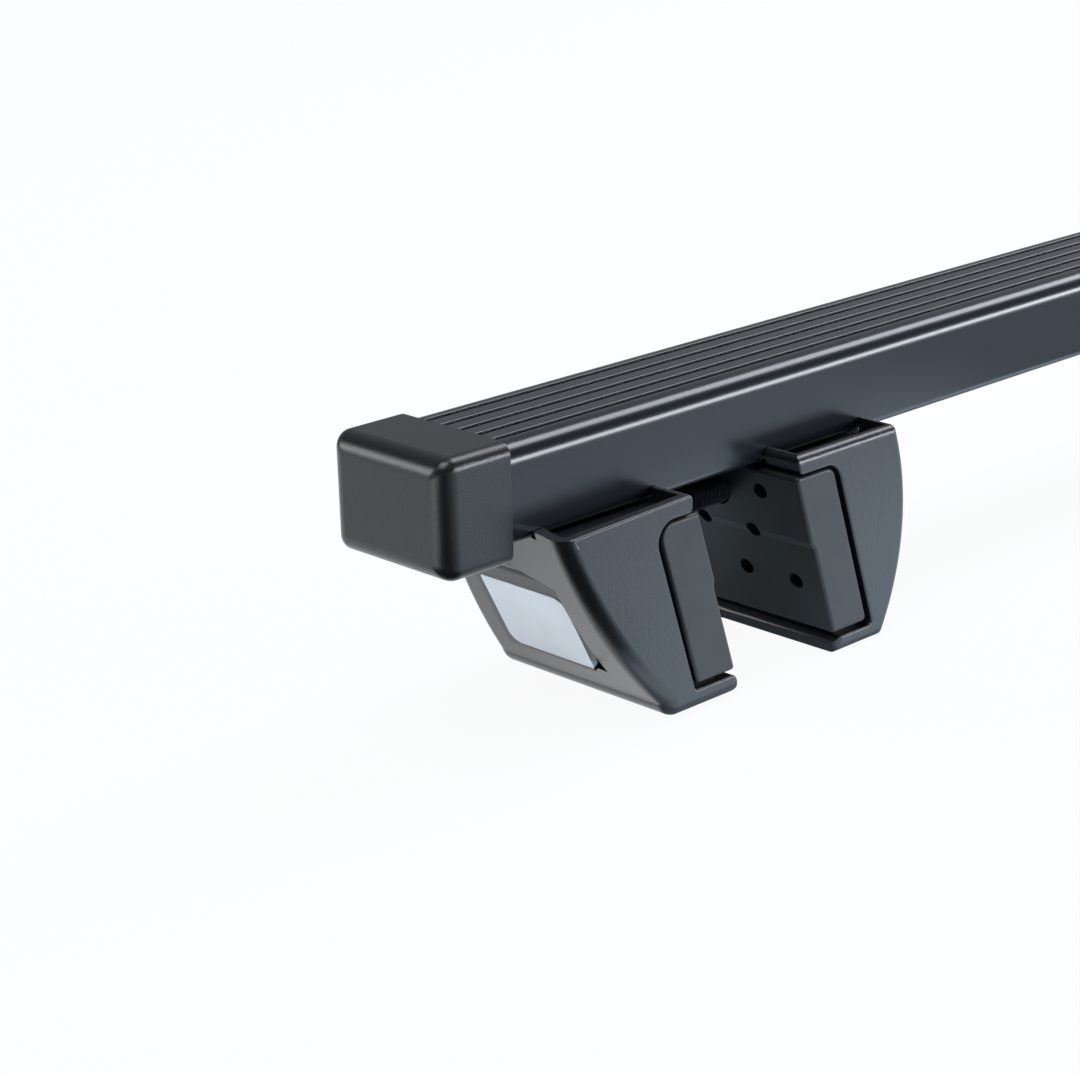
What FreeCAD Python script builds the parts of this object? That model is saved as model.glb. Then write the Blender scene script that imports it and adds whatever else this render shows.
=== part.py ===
# Roof rack crossbar: a coated steel bar on two clamping feet, in millimetres.
# X runs along the bar, Y along the car, Z up. The origin is at mid-length and mid-width,
# in the plane of the feet's lowest faces.
import FreeCAD
import Part
import math
import os

os.makedirs("parts", exist_ok=True)
V = FreeCAD.Vector

OVERRUN = 1.0            # cutting shapes run this far past what they cut
FAR_PAST = 10.0          # and this far where nothing else is near
NEAR = 0.01              # edges this close to a plane lie in it

# Bar
LENGTH = 1200.0          # over both end caps
BAR_W = 32.0             # across the coated bar
BAR_H = 20.5             # height of the coated bar
BAR_EDGE_R = 3.0
COAT_SIDE = 1.0          # coating on the sides and the underside
COAT_TOP = 1.8
GROOVES = 5
GROOVE_PITCH = 5.0
GROOVE_W = 1.3
GROOVE_DEPTH = 0.8
TUBE_WALL = 2.0
SLOT_W = 11.0            # slot along the underside that carries the feet
COAT_SLOT_MARGIN = 0.8

# End caps
CAP_LENGTH = 18.2
CAP_WALL = 0.95          # the cap stands this far out from the coating
CAP_END = 3.0            # end wall that the bar butts against
CAP_DROP = 3.7           # the cap hangs this far below the bar
CAP_EDGE_R = 2.6         # round the end face
CAP_CORNER_R = 3.2       # along the cap
CAP_FIT = 0.05
PLUG_LENGTH = 11.0
PLUG_WALL = 2.2
PLUG_FIT = 0.3
PLUG_ROOT = 0.5          # how far the plug runs into the end wall

# Foot, measured from the cap's outer face (x) and the bar's underside (z)
JAW_DEPTH = 52.1         # along Y
JAW_DROP = 45.0          # underside of the bar to the lowest faces
LEAN = math.radians(17.2)   # of the gripping faces from the vertical
RUN = 0.3                # gap between pieces that slide past each other
SADDLE_FLOOR = -0.3
SIDE_WALL = 2.1          # thickness of the walls left standing beside the bar
LIP_WALL = 2.2           # and of the one across the lip's end
SOFT_R = 0.5             # softened edges round the jaws' sides

OUTER_TOP_X = 21.8
OUTER_TOP_Z = 1.7
OUTER_LIP_X = 59.8
OUTER_LIP_Z = 3.0
BLOCK_TOP = 8.0          # the jaws' blocks are cut from this height down to their top lines
OUTER_TWIST = 12.0        # the outer face sits this much further in at the back edge
FACE_MID = (33.5, -20.0)
FACE_LOW = (51.6, -41.6)
FACE_MID_TWIST = 7.1
NOSE = (1.5, -2.3)       # from the face's low end to the middle of the rounding under it
NOSE_FOOT = 4.6          # and to where that rounding meets the lowest face
FACE_CORNER_R = 3.2
LOW_EDGE_R = 3.4         # a little more, so that it takes in the end of the face's rounding
FACE_WALL = 3.0          # behind the outer face, beside the bar
RECESS_X = 48.1
RECESS_Z = -1.0
RECESS_R = 4.5
RECESS_FOOT_R = 1.2
TOE_X = 73.2
TOE_T = 4.8
TOE_END_R = 1.8
LIP_END_R = 1.2
OUTER_PAD_X = 60.9       # grip face at the height of the recess's top
OUTER_PAD_GAP = 1.1      # round the pad where it shows, the pad's back seats closer
PAD_SEAT_FIT = 0.1
PAD_SEAT_IN = 3.0        # the seating part of the pad's back starts this far in from its sides
PAD_SIDE_IN = 0.2
PAD_CORNER_R = 0.8
PAD_SIDE_R = 0.8
RIDGE_Z = -17.4          # the grip face stands proud above this height
RIDGE_T = 0.7
RIDGE_UNDER = 1.6

INNER_LIP_X = 92.0
INNER_LIP_SLANT = 1.4
INNER_TOP_Z = 3.2
INNER_BACK_X = 125.4
INNER_BULGE = (129.0, -16.0)
INNER_LOW_X = 121.4
INNER_CROWN_R = 1.4      # where the back meets the top
INNER_HEEL_R = 1.2
INNER_BACK_R = 1.8
INNER_RECESS_X = 105.4
INNER_TOE_X = 105.4
INNER_TOE_T = 3.6
INNER_TOE_SLOPE = 1.4    # the toe's upper edge leans away from the rail by this
INNER_TOE_R = 2.2
INNER_PAD_X = 92.6
INNER_PAD_GAP = 1.3
PAD_DROP = 0.5           # pad's top face below the recess's top
GRIP_HOLE_R = 1.9
GRIP_HOLE_DEPTH = 5.0
GRIP_HOLE_PITCH = 14.4
GRIP_ROW_SHIFT = 5.2
GRIP_ROW_PITCH = 11.4
GRIP_EDGE = 6.0
GRIP_ROWS = 3
GRIP_FIRST = (-13.9, 6.2)   # across, and down the face from its top
PAD_HOLE_RUN = 9.0       # cuts into the inner pad start or end this far past its faces

# Clamp
SCREW_Z = -9.0
SCREW_R = 4.0
SCREW_LENGTH = 84.0
HEAD_R = 6.5
HEAD_H = 5.0
HEX_AF = 5.0
HEX_DEPTH = 2.8
SCREW_FIT = 0.05
SCREW_ROOM = 0.4         # round the screw where it passes through a jaw
WASHER_FIT = 0.2
SCREW_BEVEL = 1.0
HEAD_BEVEL = 0.6
WASHER_R = 7.2
WASHER_T = 1.6
ANCHOR_X = 45.2          # outer face of the anchor block
ANCHOR_LENGTH = 8.0
BLOCK_W = 15.0
BLOCK_DROP = 16.5
CLAMP_X = 107.5
CLAMP_LENGTH = 12.0
NECK_W = 10.0
TEE_W = 24.0
TEE_H = 4.0
TEE_FIT = 0.2
BOSS_WALL = 2.0

# Cover over the screw head
COVER_LEAN = math.radians(27.3)
COVER_TOP = (32.9, -12.2)
COVER_LENGTH = 25.8
COVER_W = 28.6
COVER_T = 3.0
COVER_FIT = 0.3
BADGE_DOWN = 5.2
BADGE_LENGTH = 19.6
BADGE_W = 24.6
BADGE_T = 1.2
BADGE_PROUD = 0.15
BADGE_R = 3.0
BADGE_TIP_R = 0.6
BADGE_FIT = 0.05
COVER_CORNER_R = 1.0
PIN_R = 0.8
PIN_FIT = 0.05
PIN_SEAT = 3.0
FINGER_W = 2.4
FINGER_L = 3.4
WELL_W = 18.0
WELL_TOP = -1.6
WELL_LOW = -27.0

HALF = JAW_DEPTH / 2
FOOT_LOW = -JAW_DROP
TUBE_W = BAR_W - 2 * COAT_SIDE
TUBE_Z0 = COAT_SIDE
TUBE_Z1 = BAR_H - COAT_TOP
TUBE_R = BAR_EDGE_R - COAT_SIDE
SLOT_FLOOR = TUBE_Z0 + TUBE_WALL


def rounded(solid, radius, chosen):
    """Rounds the edges whose bounding box the test picks."""
    return solid.makeFillet(radius, [e for e in solid.Edges if chosen(e.BoundBox)])


def box(x0, x1, y0, y1, z0, z1):
    return Part.makeBox(x1 - x0, y1 - y0, z1 - z0, V(x0, y0, z0))


def rod(x, y, z, radius, length, along):
    return Part.makeCylinder(radius, length, V(x, y, z), along)


def rounded_wire(points):
    """A closed wire through corners (vector, radius), each corner an arc of its radius."""
    count = len(points)
    ends = []
    for i, (corner, radius) in enumerate(points):
        back = (points[i - 1][0] - corner).normalize()
        ahead = (points[(i + 1) % count][0] - corner).normalize()
        if radius == 0:
            ends.append((corner, None, corner))
            continue
        half = back.getAngle(ahead) / 2
        cut = radius / math.tan(half)
        inward = (back + ahead).normalize()
        middle = corner + inward * (radius / math.sin(half) - radius)
        ends.append((corner + back * cut, middle, corner + ahead * cut))
    edges = []
    for i, (start, middle, end) in enumerate(ends):
        if middle is not None:
            edges.append(Part.Arc(start, middle, end).toShape())
        following = ends[(i + 1) % count][0]
        edges.append(Part.LineSegment(end, following).toShape())
    return Part.Wire(edges)


def side_prism(outline, y0, y1):
    """A prism along Y from corners (x, z, radius)."""
    wire = rounded_wire([(V(x, y0, z), r) for x, z, r in outline])
    return Part.Face(wire).extrude(V(0, y1 - y0, 0))


def end_prism(outline, x0, x1):
    """A prism along X from corners (y, z, radius)."""
    wire = rounded_wire([(V(x0, y, z), r) for y, z, r in outline])
    return Part.Face(wire).extrude(V(x1 - x0, 0, 0))


def rounded_rect(half_width, z0, z1, radius):
    return [(-half_width, z0, radius), (half_width, z0, radius),
            (half_width, z1, radius), (-half_width, z1, radius)]


def lean_x(x, z, top=RECESS_Z):
    """x on a leaning face that passes x at the height top."""
    return x + (top - z) * math.tan(LEAN)


def bar_tube():
    x0 = CAP_END
    x1 = LENGTH - CAP_END
    outside = end_prism(rounded_rect(TUBE_W / 2, TUBE_Z0, TUBE_Z1, TUBE_R), x0, x1)
    hollow = rounded_rect(TUBE_W / 2 - TUBE_WALL, SLOT_FLOOR, TUBE_Z1 - TUBE_WALL, 0)
    slot = box(x0, x1, -SLOT_W / 2, SLOT_W / 2, 0, SLOT_FLOOR + OVERRUN)
    return outside.cut(end_prism(hollow, x0, x1)).cut(slot)


def bar_coating():
    """The coating stops at the caps' mouths, so its top is clear of them."""
    x0 = CAP_LENGTH + CAP_FIT
    x1 = LENGTH - x0
    skin = end_prism(rounded_rect(BAR_W / 2, 0, BAR_H, BAR_EDGE_R), x0, x1)
    skin = skin.cut(end_prism(rounded_rect(TUBE_W / 2, TUBE_Z0, TUBE_Z1, TUBE_R), x0, x1))
    slot_half = SLOT_W / 2 + COAT_SLOT_MARGIN
    skin = skin.cut(box(x0, x1, -slot_half, slot_half, -OVERRUN, TUBE_Z0 + OVERRUN))
    for i in range(GROOVES):
        y = (i - (GROOVES - 1) / 2) * GROOVE_PITCH
        groove = box(x0, x1, y - GROOVE_W / 2, y + GROOVE_W / 2, BAR_H - GROOVE_DEPTH, BAR_H + OVERRUN)
        skin = skin.cut(groove)
    return skin


def end_cap():
    half = BAR_W / 2 + CAP_WALL
    top = BAR_H + CAP_WALL
    cap = end_prism(rounded_rect(half, -CAP_DROP, top, CAP_CORNER_R), 0, CAP_LENGTH)
    rim = [e for e in cap.Edges if e.BoundBox.XMax < NEAR]
    cap = cap.makeFillet(CAP_EDGE_R, rim)
    socket = rounded_rect(TUBE_W / 2 + CAP_FIT, TUBE_Z0 - CAP_FIT, TUBE_Z1 + CAP_FIT, TUBE_R)
    cap = cap.cut(end_prism(socket, CAP_END, CAP_LENGTH + OVERRUN))
    plug_half = TUBE_W / 2 - TUBE_WALL - PLUG_FIT
    z0 = SLOT_FLOOR + PLUG_FIT
    z1 = TUBE_Z1 - TUBE_WALL - PLUG_FIT
    x1 = CAP_END + PLUG_LENGTH
    plug = box(CAP_END - PLUG_ROOT, x1, -plug_half, plug_half, z0, z1)
    core_half = plug_half - PLUG_WALL
    core = box(CAP_END, x1 + OVERRUN, -core_half, core_half, z0 + PLUG_WALL, z1 - PLUG_WALL)
    return cap.fuse(plug.cut(core)).removeSplitter()


def outer_outline(y, twist):
    """Side outline of the outer jaw's block at one Y, with the outer face as an arc."""
    shift = OUTER_TWIST if twist else 0.0
    mid_shift = FACE_MID_TWIST if twist else 0.0
    top = V(OUTER_TOP_X + shift, y, OUTER_TOP_Z)
    mid = V(FACE_MID[0] + mid_shift, y, FACE_MID[1])
    low = V(FACE_LOW[0], y, FACE_LOW[1])
    nose = V(FACE_LOW[0] + NOSE[0], y, FACE_LOW[1] + NOSE[1])
    foot = V(FACE_LOW[0] + NOSE_FOOT, y, FOOT_LOW)
    under = V(foot.x + OVERRUN, y, FOOT_LOW - FAR_PAST / 2)
    under_toe = V(TOE_X + OVERRUN, y, FOOT_LOW - FAR_PAST / 2)
    above_toe = V(TOE_X + OVERRUN, y, BLOCK_TOP)
    above = V(top.x, y, BLOCK_TOP)
    return Part.Wire([
        Part.Arc(top, mid, low).toShape(),
        Part.Arc(low, nose, foot).toShape(),
        Part.LineSegment(foot, under).toShape(),
        Part.LineSegment(under, under_toe).toShape(),
        Part.LineSegment(under_toe, above_toe).toShape(),
        Part.LineSegment(above_toe, above).toShape(),
        Part.LineSegment(above, top).toShape(),
    ])


def soft_sided(profile):
    """A prism over the jaw's whole depth with the outlines of its side faces softened."""
    prism = side_prism(profile, -HALF, HALF)
    return rounded(prism, SOFT_R, lambda b: b.YLength < NEAR)


def outer_front():
    """The outer jaw's side profile from its top line round the lip, the recess and the toe."""
    z_low = FOOT_LOW + TOE_T
    slope = (OUTER_LIP_Z - OUTER_TOP_Z) / (OUTER_LIP_X - OUTER_TOP_X)
    profile = [
        (0, FOOT_LOW, 0), (TOE_X, FOOT_LOW, TOE_END_R), (TOE_X, z_low, TOE_END_R),
        (lean_x(RECESS_X, z_low), z_low, RECESS_FOOT_R), (RECESS_X, RECESS_Z, RECESS_R),
        (OUTER_LIP_X, RECESS_Z, LIP_END_R), (OUTER_LIP_X, OUTER_LIP_Z, LIP_END_R),
        (0, OUTER_TOP_Z - slope * OUTER_TOP_X, 0),
    ]
    return soft_sided(profile)


def inner_front():
    """The inner jaw's side profile: lip, recess, toe, heel and crown, with the back left square."""
    z_low = FOOT_LOW + INNER_TOE_T
    far = INNER_BULGE[0] + FAR_PAST / 2
    profile = [
        (far, FOOT_LOW, 0), (far, INNER_TOP_Z, 0), (INNER_LIP_X, INNER_TOP_Z, LIP_END_R),
        (INNER_LIP_X + INNER_LIP_SLANT, RECESS_Z, LIP_END_R), (INNER_RECESS_X, RECESS_Z, RECESS_R),
        (lean_x(INNER_RECESS_X, z_low), z_low, RECESS_FOOT_R),
        (INNER_TOE_X + INNER_TOE_SLOPE, z_low, INNER_TOE_R / 2),
        (INNER_TOE_X, z_low - INNER_TOE_SLOPE, INNER_TOE_R / 2), (INNER_TOE_X, FOOT_LOW, 0),
    ]
    front = soft_sided(profile)
    for side in (-1, 1):
        front = front.cut(toe_corner(side))
    return front


def toe_corner(side):
    """What the inner jaw's toe loses at one of its upright corners."""
    x1 = INNER_TOE_X + INNER_TOE_R
    y1 = side * (HALF - INNER_TOE_R)
    y0, y2 = sorted((y1, side * (HALF + OVERRUN)))
    z0 = FOOT_LOW - OVERRUN
    height = INNER_TOE_T + 2 * OVERRUN
    block = box(INNER_TOE_X - OVERRUN, x1, y0, y2, z0, z0 + height)
    return block.cut(rod(x1, y1, z0 - OVERRUN, INNER_TOE_R, height + 2 * OVERRUN, V(0, 0, 1)))


def low_edge(side):
    """What the outer jaw loses along one lower edge, so that the face's rounding runs on to the toe."""
    y1 = side * (HALF - LOW_EDGE_R)
    y0, y2 = sorted((y1, side * (HALF + OVERRUN)))
    z1 = FOOT_LOW + LOW_EDGE_R
    x0 = FACE_LOW[0]
    length = TOE_X + OVERRUN - x0
    edge = box(x0, x0 + length, y0, y2, FOOT_LOW - OVERRUN, z1)
    return edge.cut(rod(x0 - OVERRUN, y1, z1, LOW_EDGE_R, length + 2 * OVERRUN, V(1, 0, 0)))


def saddle(x_face, x_lip, back_shift):
    """The bar's bed and the channels beside it; x_face is the channels' end by the jaw's outside."""
    half = BAR_W / 2 + RUN
    bed = box(-FAR_PAST, LENGTH / 2, -half, half, SADDLE_FLOOR, SADDLE_FLOOR + FAR_PAST)
    side = HALF - SIDE_WALL
    corners = [(x_face, -side), (x_lip, -side), (x_lip, side), (x_face + back_shift, side)]
    floor = Part.makePolygon([V(x, y, SADDLE_FLOOR) for x, y in corners + corners[:1]])
    return bed.fuse(Part.Face(floor).extrude(V(0, 0, FAR_PAST)))


def tee_block(x0, length, hole_r):
    """Steel block hung in the bar's slot by a T head, with the clamp screw's hole."""
    x1 = x0 + length
    block = box(x0, x1, -BLOCK_W / 2, BLOCK_W / 2, -BLOCK_DROP, SADDLE_FLOOR)
    neck = box(x0, x1, -NECK_W / 2, NECK_W / 2, SADDLE_FLOOR, SLOT_FLOOR + TEE_FIT)
    head_z = SLOT_FLOOR + TEE_FIT
    head = box(x0, x1, -TEE_W / 2, TEE_W / 2, head_z, head_z + TEE_H)
    block = block.fuse([neck, head]).removeSplitter()
    return block.cut(rod(x0 - OVERRUN, 0, SCREW_Z, hole_r, length + 2 * OVERRUN, V(1, 0, 0)))


def block_pocket(x0, x1):
    """Room for a block inside a jaw, open at the jaw's saddle."""
    half = BLOCK_W / 2
    return box(x0, x1, -half, half, -BLOCK_DROP, BLOCK_TOP)


def cover_frame(down, across, out):
    """A point on the cover: down its slope, across the jaw, and outward from its face."""
    x = COVER_TOP[0] + down * math.sin(COVER_LEAN) - out * math.cos(COVER_LEAN)
    z = COVER_TOP[1] - down * math.cos(COVER_LEAN) - out * math.sin(COVER_LEAN)
    return V(x, across, z)


def cover_plate(down0, down1, half, out0, out1, radii=(0, 0, 0, 0)):
    """A flat plate in the cover's plane, with its four corner radii."""
    corners = [(down0, -half), (down1, -half), (down1, half), (down0, half)]
    points = [(cover_frame(d, y, out0), r) for (d, y), r in zip(corners, radii)]
    rise = cover_frame(0, 0, out1) - cover_frame(0, 0, out0)
    return Part.Face(rounded_wire(points)).extrude(rise)


def barrel(radius, half):
    centre = cover_frame(COVER_T / 2, -half, -COVER_T / 2)
    return Part.makeCylinder(radius, 2 * half, centre, V(0, 1, 0))


def outer_jaw():
    solid = Part.makeLoft([outer_outline(-HALF, False), outer_outline(HALF, True)], True, True)

    def beside_face(b):
        return b.YLength < NEAR and b.XMax < FACE_LOW[0] + FAR_PAST / 2 and b.ZLength > FACE_CORNER_R

    solid = rounded(solid, FACE_CORNER_R, beside_face)
    solid = solid.common(outer_front())
    for side in (-1, 1):
        solid = solid.cut(low_edge(side))
    # boss round the anchor block, standing into the pad's back
    boss_half = BLOCK_W / 2 + BOSS_WALL
    boss_x = ANCHOR_X + ANCHOR_LENGTH + BOSS_WALL
    solid = solid.fuse(box(ANCHOR_X, boss_x, -boss_half, boss_half, -BLOCK_DROP - BOSS_WALL, RECESS_Z))
    solid = solid.cut(saddle(OUTER_TOP_X + FACE_WALL, OUTER_LIP_X - LIP_WALL, OUTER_TWIST))
    solid = solid.cut(block_pocket(ANCHOR_X, ANCHOR_X + ANCHOR_LENGTH))
    solid = solid.cut(screw_hole(ANCHOR_X))
    # seat of the cover, the well behind it and the pin's holes
    seat_half = COVER_W / 2 + COVER_FIT
    seat = cover_plate(COVER_T / 2, COVER_LENGTH + COVER_FIT, seat_half, -COVER_T - COVER_FIT, FAR_PAST)
    top_seat = barrel(COVER_T / 2 + COVER_FIT, seat_half)
    throat = cover_plate(-COVER_FIT, COVER_T, seat_half, -COVER_T / 2, FAR_PAST)
    solid = solid.cut(seat).cut(top_seat).cut(throat)
    well = box(OUTER_TOP_X, ANCHOR_X, -WELL_W / 2, WELL_W / 2, WELL_LOW, WELL_TOP)
    well_limit = cover_plate(-COVER_LENGTH, 2 * COVER_LENGTH, WELL_W, -COVER_LENGTH, -COVER_T)
    solid = solid.cut(well.common(well_limit))
    solid = solid.cut(barrel(PIN_R + PIN_FIT, COVER_W / 2 + PIN_SEAT))
    return solid.removeSplitter()


def pad_outline(sign, grip_x, back_x, toe_z, gap):
    """Side outline of a pad whose back and foot stay one gap away from its jaw."""
    top = RECESS_Z - PAD_DROP
    z_low = toe_z + gap
    back = back_x + sign * gap / math.cos(LEAN)
    proud = grip_x + sign * RIDGE_T
    under = RIDGE_Z - RIDGE_UNDER
    return [
        (lean_x(back, top), top, RECESS_R - gap), (lean_x(back, z_low), z_low, RECESS_FOOT_R),
        (lean_x(grip_x, z_low), z_low, PAD_CORNER_R), (lean_x(grip_x, under), under, 0),
        (lean_x(proud, RIDGE_Z), RIDGE_Z, 0), (lean_x(proud, top), top, PAD_CORNER_R),
    ]


def grip_pad(sign, grip_x, back_x, toe_z, gap):
    """Rubber pad with a leaning grip face; sign is +1 where that face looks along +X."""
    half = HALF - PAD_SIDE_IN
    pad = side_prism(pad_outline(sign, grip_x, back_x, toe_z, gap), -half, half)

    def along_grip(edge):
        b = edge.BoundBox
        ahead = sign * (edge.CenterOfMass.x - lean_x(grip_x, edge.CenterOfMass.z))
        return b.YLength < 0.01 and b.ZLength > PAD_CORNER_R / 2 and ahead > -PAD_CORNER_R

    pad = pad.makeFillet(PAD_SIDE_R, [e for e in pad.Edges if along_grip(e)])
    seat_half = half - PAD_SEAT_IN
    seat_x = grip_x - sign * PAD_SEAT_IN
    seat = side_prism(pad_outline(sign, seat_x, back_x, toe_z, PAD_SEAT_FIT), -seat_half, seat_half)
    return pad.fuse(seat).removeSplitter()


def pad_pocket(x0, x1):
    """Room in a pad's back for the jaw's boss."""
    half = BLOCK_W / 2 + BOSS_WALL + RUN
    return box(x0, x1, -half, half, -BLOCK_DROP - BOSS_WALL - RUN, SADDLE_FLOOR)


def screw_hole(x0):
    return rod(x0, 0, SCREW_Z, SCREW_R + SCREW_ROOM, SCREW_LENGTH, V(1, 0, 0))


def grip_holes(grip_x, sign):
    """Blind holes in slanting rows, square to the grip face."""
    normal = V(sign * math.cos(LEAN), 0, sign * math.sin(LEAN))
    down = V(math.sin(LEAN), 0, -math.cos(LEAN))
    holes = []
    for row in range(GRIP_ROWS):
        first = GRIP_FIRST[0] + row * GRIP_ROW_SHIFT
        before = math.floor((first + HALF - GRIP_EDGE) / GRIP_HOLE_PITCH)
        after = math.floor((HALF - GRIP_EDGE - first) / GRIP_HOLE_PITCH)
        for step in range(-before, after + 1):
            y = first + step * GRIP_HOLE_PITCH
            if row == 0 and abs(y) < SCREW_R + 2 * GRIP_HOLE_R:
                continue
            depth = GRIP_FIRST[1] + row * GRIP_ROW_PITCH
            start = V(grip_x, y, RECESS_Z) + down * depth + normal * OVERRUN
            holes.append(Part.makeCylinder(GRIP_HOLE_R, GRIP_HOLE_DEPTH + OVERRUN, start, normal * -OVERRUN))
    return holes


def outer_pad():
    pad = grip_pad(1, OUTER_PAD_X, RECESS_X, FOOT_LOW + TOE_T, OUTER_PAD_GAP)
    pad = pad.cut(pad_pocket(RECESS_X - FAR_PAST / 2, ANCHOR_X + ANCHOR_LENGTH + BOSS_WALL + RUN))
    pad = pad.cut(screw_hole(ANCHOR_X))
    return pad.cut(grip_holes(OUTER_PAD_X, 1))


def inner_jaw():
    back = V(INNER_BACK_X, -HALF, INNER_TOP_Z)
    bulge = V(INNER_BULGE[0], -HALF, INNER_BULGE[1])
    low = V(INNER_LOW_X, -HALF, FOOT_LOW)
    toe = V(INNER_LIP_X, -HALF, FOOT_LOW)
    lip = V(INNER_LIP_X, -HALF, INNER_TOP_Z)
    wire = Part.Wire([
        Part.Arc(back, bulge, low).toShape(), Part.LineSegment(low, toe).toShape(),
        Part.LineSegment(toe, lip).toShape(), Part.LineSegment(lip, back).toShape(),
    ])
    solid = Part.Face(wire).extrude(V(0, JAW_DEPTH, 0))

    def across(b, x, z):
        return b.YLength > HALF and abs(b.XMax - x) < NEAR and abs(b.ZMax - z) < NEAR

    solid = rounded(solid, INNER_CROWN_R, lambda b: across(b, INNER_BACK_X, INNER_TOP_Z))
    solid = rounded(solid, INNER_HEEL_R, lambda b: across(b, INNER_LOW_X, FOOT_LOW))

    def up_the_back(b):
        return b.YLength < NEAR and b.XMin > INNER_LOW_X - 2 * INNER_HEEL_R and b.ZLength > INNER_HEEL_R / 2

    solid = rounded(solid, INNER_BACK_R, up_the_back)
    solid = solid.common(inner_front())
    boss_half = BLOCK_W / 2 + BOSS_WALL
    boss_low = -BLOCK_DROP - BOSS_WALL
    boss = box(CLAMP_X - BOSS_WALL, CLAMP_X + CLAMP_LENGTH, -boss_half, boss_half, boss_low, RECESS_Z)
    solid = solid.fuse(boss)
    solid = solid.cut(saddle(INNER_BACK_X - INNER_CROWN_R, INNER_LIP_X + LIP_WALL, 0))
    solid = solid.cut(block_pocket(CLAMP_X, CLAMP_X + CLAMP_LENGTH))
    solid = solid.cut(screw_hole(INNER_LIP_X - OVERRUN))
    return solid.removeSplitter()


def inner_pad():
    pad = grip_pad(-1, INNER_PAD_X, INNER_RECESS_X, FOOT_LOW + INNER_TOE_T, INNER_PAD_GAP)
    pad = pad.cut(pad_pocket(CLAMP_X - BOSS_WALL - RUN, INNER_TOE_X + PAD_HOLE_RUN))
    pad = pad.cut(screw_hole(INNER_PAD_X - PAD_HOLE_RUN))
    return pad.cut(grip_holes(INNER_PAD_X, -1))


def clamp_screw():
    x0 = ANCHOR_X - WASHER_T - HEAD_H
    head = rod(x0, 0, SCREW_Z, HEAD_R, HEAD_H, V(1, 0, 0))
    head = head.makeChamfer(HEAD_BEVEL, [e for e in head.Edges if e.BoundBox.XMax < x0 + NEAR])
    shank = rod(x0 + HEAD_H, 0, SCREW_Z, SCREW_R, SCREW_LENGTH, V(1, 0, 0))
    tip = [e for e in shank.Edges if e.BoundBox.XMin > x0 + HEAD_H + SCREW_LENGTH - NEAR]
    shank = shank.makeChamfer(SCREW_BEVEL, tip)
    radius = HEX_AF / math.sqrt(3)
    corners = []
    for i in range(6):
        turn = math.radians(60 * i)
        corners.append((V(x0 - OVERRUN, radius * math.cos(turn), SCREW_Z + radius * math.sin(turn)), 0))
    socket = Part.Face(rounded_wire(corners)).extrude(V(HEX_DEPTH + OVERRUN, 0, 0))
    return head.fuse(shank).cut(socket).removeSplitter()


def clamp_washer():
    ring = rod(ANCHOR_X - WASHER_T, 0, SCREW_Z, WASHER_R, WASHER_T, V(1, 0, 0))
    hole_x = ANCHOR_X - WASHER_T - OVERRUN
    return ring.cut(rod(hole_x, 0, SCREW_Z, SCREW_R + WASHER_FIT, WASHER_T + 2 * OVERRUN, V(1, 0, 0)))


def cover():
    half = COVER_W / 2
    plate = cover_plate(COVER_T / 2, COVER_LENGTH, half, -COVER_T, 0, (0, COVER_CORNER_R, COVER_CORNER_R, 0))
    knuckle = barrel(COVER_T / 2, half)
    plate = plate.fuse(knuckle)
    plate = plate.cut(badge_shape(BADGE_FIT, OVERRUN))
    finger_top = COVER_LENGTH - FINGER_L
    finger = cover_plate(finger_top, COVER_LENGTH + OVERRUN, half, -COVER_T - OVERRUN, OVERRUN)
    corner = box(0, TOE_X, -half - OVERRUN, -half + FINGER_W, FOOT_LOW, 0)
    plate = plate.cut(finger.common(corner))
    return plate.cut(barrel(PIN_R + PIN_FIT, half + OVERRUN)).removeSplitter()


def badge_shape(fit, top):
    """The badge's outline, larger by a fit all round, from its back up to a height above the cover."""
    radii = (BADGE_R, BADGE_TIP_R, BADGE_R, BADGE_TIP_R)
    down0 = BADGE_DOWN - fit
    down1 = BADGE_DOWN + BADGE_LENGTH + fit
    return cover_plate(down0, down1, BADGE_W / 2 + fit, BADGE_PROUD - BADGE_T, top, radii)


def badge_plate():
    return badge_shape(0, BADGE_PROUD)


def cover_pin():
    return barrel(PIN_R, COVER_W / 2 + PIN_SEAT - 2 * PIN_FIT)


FOOT_PIECES = {
    "outer_jaw": outer_jaw,
    "outer_pad": outer_pad,
    "cover": cover,
    "badge_plate": badge_plate,
    "cover_pin": cover_pin,
    "anchor_block": lambda: tee_block(ANCHOR_X, ANCHOR_LENGTH, SCREW_R + WASHER_FIT),
    "clamp_washer": clamp_washer,
    "clamp_screw": clamp_screw,
    "clamp_block": lambda: tee_block(CLAMP_X, CLAMP_LENGTH, SCREW_R + SCREW_FIT),
    "inner_jaw": inner_jaw,
    "inner_pad": inner_pad,
}


def save(shape, name, mirrored=False):
    placed = shape.copy()
    placed.translate(V(-LENGTH / 2, 0, JAW_DROP))
    if mirrored:
        placed = placed.mirror(V(0, 0, 0), V(1, 0, 0))
    placed.exportStep("parts/" + name + ".step")
    print(name, "valid", placed.isValid(), "solids", len(placed.Solids), "mm3", round(placed.Volume))


save(bar_tube(), "bar_tube")
save(bar_coating(), "bar_coating")
cap = end_cap()
save(cap, "end_cap_left")
save(cap, "end_cap_right", True)
for piece, make in FOOT_PIECES.items():
    shape = make()
    save(shape, piece + "_left")
    save(shape, piece + "_right", True)
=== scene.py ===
# Finish, light and view for the coated steel roof crossbar and its two clamp feet.
import bpy
import math
from mathutils import Matrix, Vector


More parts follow.
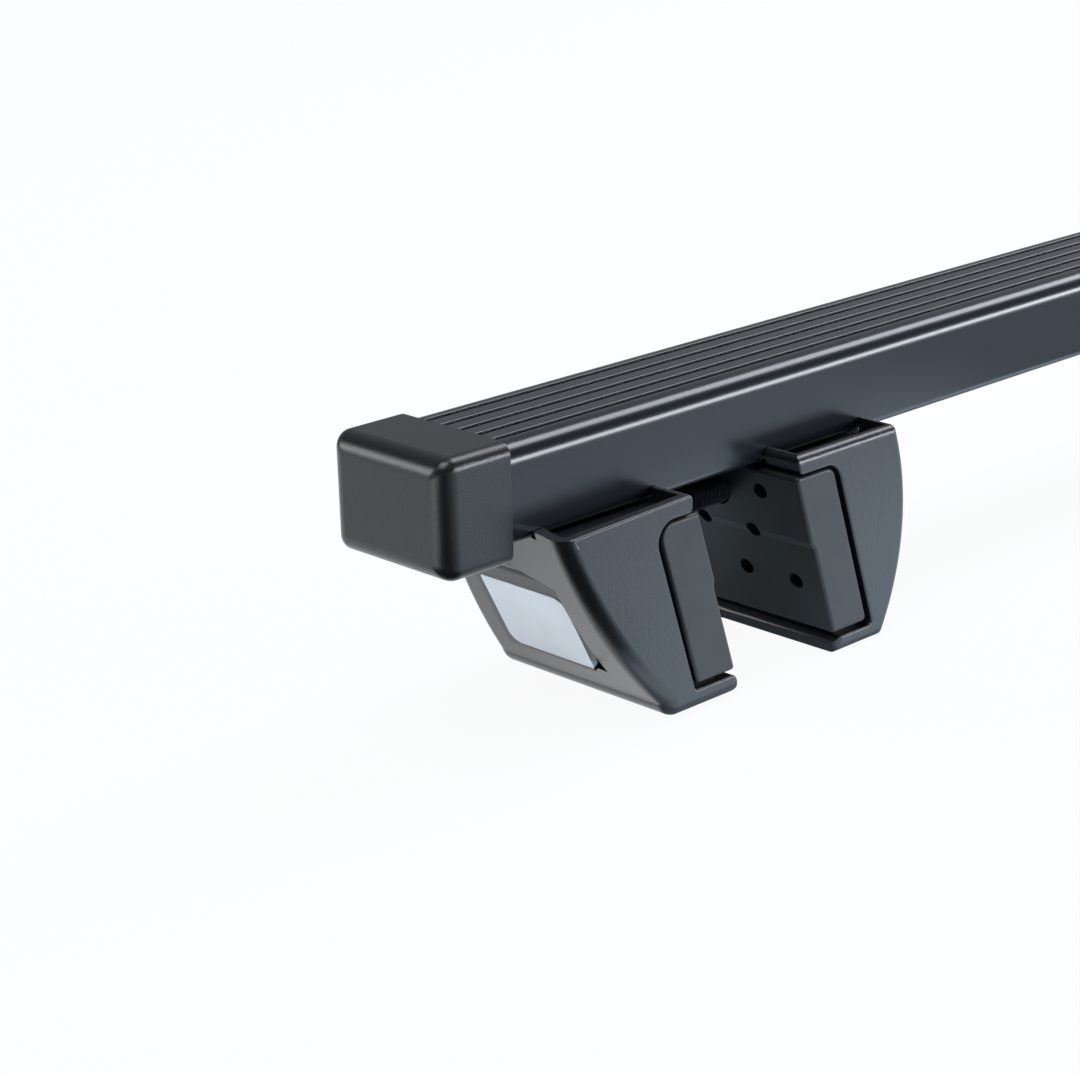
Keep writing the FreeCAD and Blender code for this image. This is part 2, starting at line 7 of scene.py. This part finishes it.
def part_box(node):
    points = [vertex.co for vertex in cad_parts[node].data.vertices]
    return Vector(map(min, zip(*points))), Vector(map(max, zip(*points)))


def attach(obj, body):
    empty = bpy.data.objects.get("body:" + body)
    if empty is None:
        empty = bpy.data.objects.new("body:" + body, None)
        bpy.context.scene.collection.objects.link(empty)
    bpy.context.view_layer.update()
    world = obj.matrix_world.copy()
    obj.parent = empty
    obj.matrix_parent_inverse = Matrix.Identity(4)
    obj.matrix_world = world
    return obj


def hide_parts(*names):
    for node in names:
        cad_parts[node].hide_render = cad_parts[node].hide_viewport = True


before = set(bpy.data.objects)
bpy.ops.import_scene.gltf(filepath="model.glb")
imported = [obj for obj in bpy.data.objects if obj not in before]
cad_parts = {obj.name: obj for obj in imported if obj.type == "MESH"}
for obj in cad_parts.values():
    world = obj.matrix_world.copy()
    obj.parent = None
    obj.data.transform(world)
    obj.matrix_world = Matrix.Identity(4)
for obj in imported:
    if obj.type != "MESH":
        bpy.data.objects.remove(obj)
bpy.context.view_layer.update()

MM = 0.001

# Viewpoint in the part's own frame: place in metres, focal length in pixels of a picture IMAGE_W_PX wide
CAMERA_AT = Vector((-0.914405, -0.376607, 0.213398))
HEADING = math.radians(46.646)
LOOKING_DOWN = math.radians(18.751)
ROLL = math.radians(1.543)
FOCAL_PX = 2644.53
IMAGE_W_PX = 1080
SENSOR_W = 36.0
NEAREST_SEEN = 0.02
FURTHEST_SEEN = 60.0

# The studio round the softboxes: pale behind the bar, dim elsewhere
SURROUND = 0.4
SURROUND_DIM_SHARE = 0.15
SURROUND_TOWARDS = (0.65, 0.69, 0.32)
SURROUND_FADE = (0.45, 0.9)      # from dim to full, by the cosine to that direction
FLOOR_SIZE = 24.0
FLOOR_HEIGHT = -0.0002
FLOOR_WHITE_IN_CAMERA = 0.94     # shares of plain glow over the lit paper
FLOOR_GLOW_IN_GLOSS = 0.3

# Bar coating, in millimetres from here on
EDGE_R = 4.4             # along the top
LOWER_EDGE_R = 1.8
EDGE_STEPS = 14
TUBE_R = 2.0
COAT_SIDE = 1.0
COAT_TOP = 1.8
SLOT_HALF = 6.3
GROOVES = 5
GROOVE_PITCH = 5.0
GROOVE_W = 1.3
GROOVE_DEPTH = 0.8
RIB_R = 0.5
RIB_STEPS = 5

# End caps
CAP_RIM_R = 4.3          # rounding round the end face
CAP_RIM_CORNER_R = 0.28  # what is left of the corners' radius on the end face
CAP_CORNER_R = 2.8       # along the cap
CAP_MOUTH_R = 0.3
CAP_END = 3.0            # thickness of the end wall
CAP_STEPS = 10

# Clamp screw: M8, socket head
SCREW_R = 4.0
HEAD_H = 5.0
HEAD_EDGE_R = 0.6
HEAD_EDGE_MID = 0.18     # where that rounding stands half way round
HEAD_FOOT_BEVEL = 0.2
HEX_AF = 5.0
HEX_DEPTH = 2.8
HEX_BEVEL = 0.15
HEX_RIM = 0.9            # the bevel round the socket reaches this far past its flats
NECK_STEP = 0.1
NECK_L = 1.5             # from the head down to the thread's root
THREAD_START = 2.0       # under the head
THREAD_SPARE = 1.2       # plain length left at the tip
THREAD_PITCH = 1.25
THREAD_ROOT_R = 3.3
THREAD_SAMPLES = 10      # rings of points for each turn
THREAD_FLANK = 2.6       # steepness of the flanks
THREAD_ROOT_FLAT = 0.25
TIP_BEVEL = 0.8
CENTRE_R = 0.05          # the rings that close both ends
SCREW_SEGMENTS = 30


def linear(hex_colour):
    """An sRGB hex colour as linear RGBA."""
    channels = []
    for i in (0, 2, 4):
        c = int(hex_colour[i:i + 2], 16) / 255
        channels.append(c / 12.92 if c <= 0.04045 else ((c + 0.055) / 1.055) ** 2.4)
    return (*channels, 1.0)


def add(tree, kind, settings=None, links=None):
    """Adds a node, sets its attributes or input values, and links (input name or number: output socket)."""
    node = tree.nodes.new(kind)
    for name, value in (settings or {}).items():
        if hasattr(node, name):
            setattr(node, name, value)
        else:
            node.inputs[name].default_value = value
    for name, source in (links or {}).items():
        tree.links.new(source, node.inputs[name])
    return node


def empty_material(name):
    material = bpy.data.materials.new(name)
    material.use_nodes = True
    material.node_tree.nodes.clear()
    return material, material.node_tree


def new_material(name, shader_settings):
    """A material with one principled shader; returns it, its tree and the shader."""
    material, tree = empty_material(name)
    shader = add(tree, "ShaderNodeBsdfPrincipled", shader_settings)
    add(tree, "ShaderNodeOutputMaterial", links={"Surface": shader.outputs["BSDF"]})
    return material, tree, shader


def features_of(tree, size_mm):
    """Object coordinates scaled to one feature of a pattern every size_mm, the same or one for each axis."""
    sizes = size_mm if isinstance(size_mm, tuple) else (size_mm,) * 3
    place = add(tree, "ShaderNodeTexCoord")
    scale = tuple(1.0 / (size * MM) for size in sizes)
    mapping = add(tree, "ShaderNodeMapping", {"Scale": scale}, {"Vector": place.outputs["Object"]})
    return mapping.outputs["Vector"]


def noise(tree, size_mm, detail, roughness=0.5):
    """Cloudy noise of a real size."""
    node = add(tree, "ShaderNodeTexNoise", {"Scale": 1.0, "Detail": detail, "Roughness": roughness},
               {"Vector": features_of(tree, size_mm)})
    return node.outputs["Fac"]


def tint(tree, shader, source, dark, light, low=0.35, high=0.65):
    """Runs a pattern through two colours into the base colour."""
    ramp = add(tree, "ShaderNodeValToRGB", links={"Fac": source})
    ramp.color_ramp.elements[0].position = low
    ramp.color_ramp.elements[0].color = linear(dark)
    ramp.color_ramp.elements[1].position = high
    ramp.color_ramp.elements[1].color = linear(light)
    tree.links.new(ramp.outputs["Color"], shader.inputs["Base Color"])


def relief(tree, shader, height, depth_mm, strength):
    """Raises a pattern from the surface by a real depth."""
    bump = add(tree, "ShaderNodeBump", {"Strength": strength, "Distance": depth_mm * MM}, {"Height": height})
    tree.links.new(bump.outputs["Normal"], shader.inputs["Normal"])


def extruded_coating():
    """Plasticised PVC drawn over the tube by extrusion: smooth, semi-gloss, faint lines along its length."""
    material, tree, shader = new_material("extruded_pvc_coating", {"Roughness": 0.23, "IOR": 1.53})
    streaks = noise(tree, (160, 0.9, 0.9), detail=3.0)
    tint(tree, shader, streaks, "0f1318", "14191f")
    relief(tree, shader, streaks, depth_mm=0.004, strength=0.4)
    return material


def moulded_cap_plastic():
    """Polypropylene injection moulded against a fine spark-eroded tool: even, satin, slightly grainy."""
    material, tree, shader = new_material("moulded_polypropylene_cap", {"Roughness": 0.3, "IOR": 1.49})
    grain = noise(tree, 0.45, detail=4.0, roughness=0.6)
    tint(tree, shader, grain, "111213", "191a1b", 0.3, 0.7)
    relief(tree, shader, grain, depth_mm=0.08, strength=0.7)
    return material


def glass_filled_nylon():
    """Polyamide with glass fibre, moulded: satin, a little mottled, with a coarser tool texture."""
    material, tree, shader = new_material("moulded_glass_filled_nylon", {"Roughness": 0.3, "IOR": 1.55})
    grain = noise(tree, 0.6, detail=5.0, roughness=0.65)
    tint(tree, shader, grain, "0d0f13", "171a1f", 0.3, 0.7)
    relief(tree, shader, grain, depth_mm=0.09, strength=0.7)
    return material


def moulded_rubber():
    """Black EPDM rubber pressed in a polished tool: smooth and soft-looking, with slight bloom."""
    settings = {"Roughness": 0.45, "IOR": 1.5, "Specular IOR Level": 0.42}
    material, tree, shader = new_material("moulded_epdm_rubber", settings)
    tint(tree, shader, noise(tree, 9.0, detail=3.0), "101315", "171b1d")
    relief(tree, shader, noise(tree, 0.35, detail=2.0), depth_mm=0.02, strength=0.4)
    return material


def white_badge_acrylic():
    """White acrylic sheet with a clear glossy face."""
    settings = {"Roughness": 0.12, "IOR": 1.49, "Coat Weight": 0.5, "Coat Roughness": 0.05}
    material, tree, shader = new_material("white_acrylic_badge", settings)
    tint(tree, shader, noise(tree, 14.0, detail=2.0), "eceff3", "f4f6f9")
    return material


def coated_steel(name, dark, light, roughness):
    """Steel under a thin zinc or black oxide finish: cloudy crystals and a fine grit."""
    material, tree, shader = new_material(name, {"Metallic": 1.0, "Roughness": roughness})
    cloud = add(tree, "ShaderNodeTexVoronoi", {"Scale": 1.0}, {"Vector": features_of(tree, 2.2)})
    tint(tree, shader, cloud.outputs["Distance"], dark, light, 0.1, 0.8)
    relief(tree, shader, noise(tree, 0.3, detail=3.0), depth_mm=0.02, strength=0.5)
    return material


def finish_mesh(name, vertices_mm, faces, body, material, sharp_deg):
    """A new piece from points in millimetres, smooth apart from edges sharper than an angle."""
    mesh = bpy.data.meshes.new(name)
    mesh.from_pydata([(x * MM, y * MM, z * MM) for x, y, z in vertices_mm], [], faces)
    mesh.validate()
    mesh.update()
    for polygon in mesh.polygons:
        polygon.use_smooth = True
    mesh.set_sharp_from_angle(angle=math.radians(sharp_deg))
    mesh.materials.append(material)
    piece = bpy.data.objects.new(name, mesh)
    bpy.context.scene.collection.objects.link(piece)
    even = piece.modifiers.new("flats_stay_flat", "WEIGHTED_NORMAL")
    even.keep_sharp = True
    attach(piece, body)
    return piece


def arc(centre, radius, start_deg, end_deg, steps=6):
    """Points on an arc in a section's plane, both ends included."""
    turns = [math.radians(start_deg + (end_deg - start_deg) * i / steps) for i in range(steps + 1)]
    return [(centre[0] + radius * math.cos(t), centre[1] + radius * math.sin(t)) for t in turns]


def node_box_mm(name):
    low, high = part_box(name)
    return [c / MM for c in low], [c / MM for c in high]


def coating_section(half, low, high):
    """The coating's section, anticlockwise in Y and Z: outside, ribbed top, slot, then the tube's outline."""
    points = [(SLOT_HALF, low)]
    points += arc((half - LOWER_EDGE_R, low + LOWER_EDGE_R), LOWER_EDGE_R, -90, 0)
    points += arc((half - EDGE_R, high - EDGE_R), EDGE_R, 0, 90, EDGE_STEPS)
    for i in range(GROOVES):
        y = ((GROOVES - 1) / 2 - i) * GROOVE_PITCH
        near, far = y + GROOVE_W / 2, y - GROOVE_W / 2
        floor = high - GROOVE_DEPTH
        points += arc((near + RIB_R, high - RIB_R), RIB_R, 90, 180, RIB_STEPS)
        points += [(near, floor), (far, floor)]
        points += arc((far - RIB_R, high - RIB_R), RIB_R, 0, 90, RIB_STEPS)
    points += arc((EDGE_R - half, high - EDGE_R), EDGE_R, 90, 180, EDGE_STEPS)
    points += arc((LOWER_EDGE_R - half, low + LOWER_EDGE_R), LOWER_EDGE_R, 180, 270)
    points.append((-SLOT_HALF, low))
    tube_low, tube_high, tube_half = low + COAT_SIDE, high - COAT_TOP, half - COAT_SIDE
    points.append((-SLOT_HALF, tube_low))
    points += arc((TUBE_R - tube_half, tube_low + TUBE_R), TUBE_R, 270, 180)
    points += arc((TUBE_R - tube_half, tube_high - TUBE_R), TUBE_R, 180, 90)
    points += arc((tube_half - TUBE_R, tube_high - TUBE_R), TUBE_R, 90, 0)
    points += arc((tube_half - TUBE_R, tube_low + TUBE_R), TUBE_R, 0, -90)
    points.append((SLOT_HALF, tube_low))
    return points


def ribbed_coating(material):
    """The extruded coating with every rib's edge rounded, as the die leaves it."""
    (x0, _, z0), (x1, half, z1) = node_box_mm("bar_coating")
    section = coating_section(half, z0, z1)
    count = len(section)
    vertices = [(x, y, z) for x in (x0, x1) for y, z in section]
    faces = [(count + i, count + (i + 1) % count, (i + 1) % count, i) for i in range(count)]
    faces += [tuple(range(count)), tuple(range(2 * count - 1, count - 1, -1))]
    piece = finish_mesh("ribbed_coating", vertices, faces, "bar", material, 40)
    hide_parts("bar_coating")


def rounded_ring(x, low, high, inset, r):
    """A rounded rectangle across the bar at one x, drawn in by an inset."""
    y0, z0 = low[0] + inset + r, low[1] + inset + r
    y1, z1 = high[0] - inset - r, high[1] - inset - r
    section = []
    for centre, start in (((y1, z0), -90), ((y1, z1), 0), ((y0, z1), 90), ((y0, z0), 180)):
        section += arc(centre, r, start, start + 90, CAP_STEPS)
    return [(x, y, z) for y, z in section]


def ring_faces(count, size, flipped):
    """Faces between rings of points, with the first and the last ring closed."""
    faces = [tuple(range(size - 1, -1, -1)), tuple(range((count - 1) * size, count * size))]
    for r in range(count - 1):
        for i in range(size):
            j = (i + 1) % size
            faces.append((r * size + i, r * size + j, (r + 1) * size + j, (r + 1) * size + i))
    return [face[::-1] for face in faces] if flipped else faces


def soft_end_cap(side, material):
    """The end cap with its full rounding: outside from the end to the mouth, then the socket."""
    node = "end_cap_" + side
    (x0, *low), (x1, *high) = node_box_mm(node)
    (_, *tube_low), (_, *tube_high) = node_box_mm("bar_tube")
    end_x, inward = (x0, 1) if side == "left" else (x1, -1)
    mouth_x = end_x + inward * (x1 - x0)
    rings = []
    for step in range(CAP_STEPS + 1):
        turn = math.pi / 2 * (1 - step / CAP_STEPS)
        in_share = 1 - math.cos(turn)
        corner_r = CAP_CORNER_R + (CAP_RIM_CORNER_R - CAP_CORNER_R) * in_share
        x = end_x + inward * CAP_RIM_R * (1 - math.sin(turn))
        rings.append(rounded_ring(x, low, high, CAP_RIM_R * in_share, corner_r))
    rings.append(rounded_ring(mouth_x - inward * CAP_MOUTH_R, low, high, 0.0, CAP_CORNER_R))
    rings.append(rounded_ring(mouth_x, low, high, CAP_MOUTH_R, CAP_CORNER_R))
    rings.append(rounded_ring(mouth_x, tube_low, tube_high, 0.0, TUBE_R))
    rings.append(rounded_ring(end_x + inward * CAP_END, tube_low, tube_high, 0.0, TUBE_R))
    vertices = [point for ring in rings for point in ring]
    faces = ring_faces(len(rings), len(rings[0]), side == "right")
    piece = finish_mesh("soft_end_cap_" + side, vertices, faces, "bar", material, 45)
    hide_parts(node)


def hexagon_radius(turn, across_flats):
    """Distance from a hexagon's middle to its outline in one direction."""
    within = (turn + math.pi / 6) % (math.pi / 3) - math.pi / 6
    return across_flats / 2 / math.cos(within)


def thread_radius(along, turn):
    """The thread's surface at one place along the screw and one direction round it."""
    phase = (along / THREAD_PITCH - turn / (2 * math.pi)) % 1.0
    rise = min(1.0, max(0.0, abs(phase - 0.5) * THREAD_FLANK - THREAD_ROOT_FLAT))
    return THREAD_ROOT_R + (SCREW_R - THREAD_ROOT_R) * rise


def threaded_screw(side, material):
    """Socket head screw with its rolled M8 thread, as rings of points along its axis."""
    node = "clamp_screw_" + side
    (x0, _, z0), (x1, _, z1) = node_box_mm(node)
    axis_z = (z0 + z1) / 2
    head_r = (z1 - z0) / 2
    head_x, outward = (x0, 1) if side == "left" else (x1, -1)
    length = x1 - x0
    turns = [2 * math.pi * i / SCREW_SEGMENTS for i in range(SCREW_SEGMENTS)]
    rings = []

    def ring(along, radii):
        x = head_x + outward * along
        rings.append([(x, r * math.cos(t), axis_z + r * math.sin(t)) for t, r in zip(turns, radii)])

    def round_ring(along, radius):
        ring(along, [radius] * SCREW_SEGMENTS)

    socket = [hexagon_radius(t, HEX_AF) for t in turns]
    round_ring(HEX_DEPTH, CENTRE_R)
    ring(HEX_DEPTH, socket)
    ring(HEX_BEVEL, socket)
    round_ring(0, HEX_AF / 2 + HEX_RIM)
    round_ring(0, head_r - HEAD_EDGE_R)
    round_ring(HEAD_EDGE_MID, head_r - HEAD_EDGE_MID)
    round_ring(HEAD_EDGE_R, head_r)
    round_ring(HEAD_H - HEAD_FOOT_BEVEL, head_r)
    round_ring(HEAD_H, head_r - HEAD_FOOT_BEVEL)
    round_ring(HEAD_H, SCREW_R + NECK_STEP)
    round_ring(HEAD_H + NECK_L, THREAD_ROOT_R)
    start = HEAD_H + THREAD_START
    step = THREAD_PITCH / THREAD_SAMPLES
    for i in range(int((length - start - THREAD_SPARE) / step)):
        along = start + i * step
        ring(along, [thread_radius(along, t) for t in turns])
    round_ring(length - TIP_BEVEL, THREAD_ROOT_R)
    round_ring(length, THREAD_ROOT_R - TIP_BEVEL)
    round_ring(length, CENTRE_R)
    vertices = [point for points in rings for point in points]
    faces = ring_faces(len(rings), SCREW_SEGMENTS, side == "right")
    name, body = "threaded_screw_" + side, "screw_" + side
    piece = finish_mesh(name, vertices, faces, body, material, 35)
    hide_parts(node)


def dress_frame():
    """Gives every node its finish, and replaces those that have a finer form."""
    coating, cap_plastic, nylon, rubber = (
        extruded_coating(), moulded_cap_plastic(), glass_filled_nylon(), moulded_rubber())
    badge = white_badge_acrylic()
    zinc = coated_steel("zinc_plated_tube", "8b8f94", "b4b8bc", 0.42)
    black_oxide = coated_steel("black_oxide_screw", "24262a", "34373b", 0.4)
    bright_zinc = coated_steel("zinc_plated_washer", "9a9da2", "c6c9cc", 0.3)
    finishes = {
        "bar_coating": coating, "end_cap": cap_plastic,
        "outer_jaw": nylon, "inner_jaw": nylon, "cover": nylon,
        "outer_pad": rubber, "inner_pad": rubber, "badge_plate": badge,
        "bar_tube": zinc, "anchor_block": zinc, "clamp_block": zinc,
        "clamp_screw": black_oxide, "clamp_washer": bright_zinc, "cover_pin": bright_zinc,
    }
    for name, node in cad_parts.items():
        kind = name.removesuffix("_left").removesuffix("_right")
        node.data.materials.clear()
        node.data.materials.append(finishes[kind])
    ribbed_coating(coating)
    for side in ("left", "right"):
        threaded_screw(side, black_oxide)
        soft_end_cap(side, cap_plastic)


def place_camera():
    forward = Vector((math.cos(HEADING) * math.cos(LOOKING_DOWN),
                      math.sin(HEADING) * math.cos(LOOKING_DOWN), -math.sin(LOOKING_DOWN)))
    right = forward.cross(Vector((0, 0, 1))).normalized()
    down = forward.cross(right)
    right_rolled = right * math.cos(ROLL) + down * math.sin(ROLL)
    down_rolled = down * math.cos(ROLL) - right * math.sin(ROLL)
    camera = bpy.data.objects.new("view_camera", bpy.data.cameras.new("view_camera"))
    camera.data.sensor_width = SENSOR_W
    camera.data.sensor_fit = "HORIZONTAL"
    camera.data.lens = FOCAL_PX / IMAGE_W_PX * SENSOR_W
    camera.data.clip_start = NEAREST_SEEN
    camera.data.clip_end = FURTHEST_SEEN
    turn = Matrix((right_rolled, -down_rolled, -forward)).transposed()
    camera.matrix_world = Matrix.Translation(CAMERA_AT) @ turn.to_4x4()
    bpy.context.scene.collection.objects.link(camera)
    bpy.context.scene.camera = camera


def area_light(name, at, target, size, power, colour="ffffff"):
    """A rectangular softbox at one point, facing another."""
    lamp = bpy.data.lights.new(name, "AREA")
    lamp.shape = "RECTANGLE"
    lamp.size, lamp.size_y = size
    lamp.energy = power
    lamp.color = linear(colour)[:3]
    lamp_object = bpy.data.objects.new(name, lamp)
    lamp_object.location = at
    lamp_object.rotation_euler = (Vector(target) - Vector(at)).to_track_quat("-Z", "Y").to_euler()
    bpy.context.scene.collection.objects.link(lamp_object)


def light_studio():
    """Two long strips beside the bar draw its edge highlights; soft boxes at the left light the foot."""
    area_light("front_strip", (2.2, -1.5, 0.22), (2.2, 0.0, 0.1), (4.6, 0.42), 94, "eef4fc")
    area_light("overhead_strip", (2.2, -0.1, 1.5), (2.2, -0.1, 0.0), (4.4, 0.7), 70, "f2f6ff")
    area_light("left_box", (-2.0, 1.5, 0.62), (-0.55, 0.0, 0.02), (1.2, 0.7), 18)
    area_light("floor_box", (-1.6, -0.2, 2.6), (-0.6, 0.3, 0.0), (1.6, 1.6), 50)


def surround():
    """The studio's walls: white in the camera, and in gloss pale only behind the bar."""
    world = bpy.data.worlds.new("studio_surround")
    bpy.context.scene.world = world
    world.use_nodes = True
    tree = world.node_tree
    tree.nodes.clear()
    toward = add(tree, "ShaderNodeTexCoord")
    facing = add(tree, "ShaderNodeVectorMath", {"operation": "DOT_PRODUCT"}, {0: toward.outputs["Generated"]})
    facing.inputs[1].default_value = SURROUND_TOWARDS
    dim, full = SURROUND * SURROUND_DIM_SHARE, SURROUND
    fade = add(tree, "ShaderNodeMapRange",
               {"From Min": SURROUND_FADE[0], "From Max": SURROUND_FADE[1], "To Min": dim, "To Max": full},
               {"Value": facing.outputs["Value"]})
    lit = add(tree, "ShaderNodeBackground", {"Color": linear("e8edf5")}, {"Strength": fade.outputs["Result"]})
    seen = add(tree, "ShaderNodeBackground", {"Color": (1, 1, 1, 1), "Strength": 1.0})
    rays = add(tree, "ShaderNodeLightPath")
    mix = add(tree, "ShaderNodeMixShader", links={
        "Fac": rays.outputs["Is Camera Ray"], 1: lit.outputs["Background"], 2: seen.outputs["Background"]})
    add(tree, "ShaderNodeOutputWorld", links={"Surface": mix.outputs["Shader"]})


def glow_over(tree, under, colour, rays, share):
    """Lays a plain glow over another shader by a share, for one kind of ray only."""
    part = add(tree, "ShaderNodeMath", {"operation": "MULTIPLY"}, {0: rays})
    part.inputs[1].default_value = share
    glow = add(tree, "ShaderNodeEmission", {"Color": colour, "Strength": 1.0})
    mix = add(tree, "ShaderNodeMixShader", links={
        "Fac": part.outputs["Value"], 1: under, 2: glow.outputs["Emission"]})
    return mix.outputs["Shader"]


def flat_card(name, centre, size, height, turned_deg=0.0):
    """A rectangle lying on the studio's floor."""
    mesh = bpy.data.meshes.new(name)
    half_x, half_y = size[0] / 2, size[1] / 2
    corners = [(-half_x, -half_y), (half_x, -half_y), (half_x, half_y), (-half_x, half_y)]
    mesh.from_pydata([(x, y, 0.0) for x, y in corners], [], [(0, 1, 2, 3)])
    card = bpy.data.objects.new(name, mesh)
    card.location = (*centre, height)
    card.rotation_euler = (0.0, 0.0, math.radians(turned_deg))
    bpy.context.scene.collection.objects.link(card)
    return card


def gloss_card(name, centre, size, turned_deg, colour, strength, height=-0.0001):
    """A card on the floor that only shows in gloss: dark ones cut reflections, pale ones fill them."""
    card = flat_card(name, centre, size, height, turned_deg)
    card.visible_camera = False
    card.visible_diffuse = False
    card.visible_shadow = False
    material, tree = empty_material(name)
    face = add(tree, "ShaderNodeEmission", {"Color": linear(colour), "Strength": strength})
    add(tree, "ShaderNodeOutputMaterial", links={"Surface": face.outputs["Emission"]})
    card.data.materials.append(material)


def lay_floor():
    """White paper under the feet, overexposed in the camera and a little brighter in gloss than it is lit."""
    floor = flat_card("studio_floor", (0.0, 0.0), (FLOOR_SIZE, FLOOR_SIZE), FLOOR_HEIGHT)
    material, tree = empty_material("white_floor_paper")
    rays = add(tree, "ShaderNodeLightPath")
    paper = add(tree, "ShaderNodeBsdfDiffuse", {"Color": linear("c6d8e4")})
    surface = glow_over(tree, paper.outputs["BSDF"], linear("d8e8f6"),
                        rays.outputs["Is Glossy Ray"], FLOOR_GLOW_IN_GLOSS)
    surface = glow_over(tree, surface, (1, 1, 1, 1), rays.outputs["Is Camera Ray"], FLOOR_WHITE_IN_CAMERA)
    add(tree, "ShaderNodeOutputMaterial", links={"Surface": surface})
    floor.data.materials.append(material)


def lay_cards():
    """Cards that shape what the glossy faces mirror; where two overlap, the higher one shows."""
    along_view = math.degrees(HEADING)
    gloss_card("black_card_by_lens", (-0.925, -0.377), (1.0, 0.17), along_view, "000000", 0.0, -0.00005)
    gloss_card("white_card_behind_foot", (-0.691, 0.189), (0.318, 0.422), 0.0, "f7f9fc", 1.15)
    gloss_card("white_card_left", (-0.98, -0.02), (0.6, 0.12), 6.0, "f7f9fc", 3.0, -0.00008)
    gloss_card("blue_card_beside_feet", (-0.44, -0.073), (0.24, 0.09), 0.0, "d8ebfa", 2.0)
    gloss_card("grey_card_beside_bar", (0.69, -0.17), (2.0, 0.2), 0.0, "d8e8f6", 0.6)


dress_frame()
place_camera()
light_studio()
surround()
lay_floor()
lay_cards()
bpy.context.scene.view_settings.view_transform = "Standard"
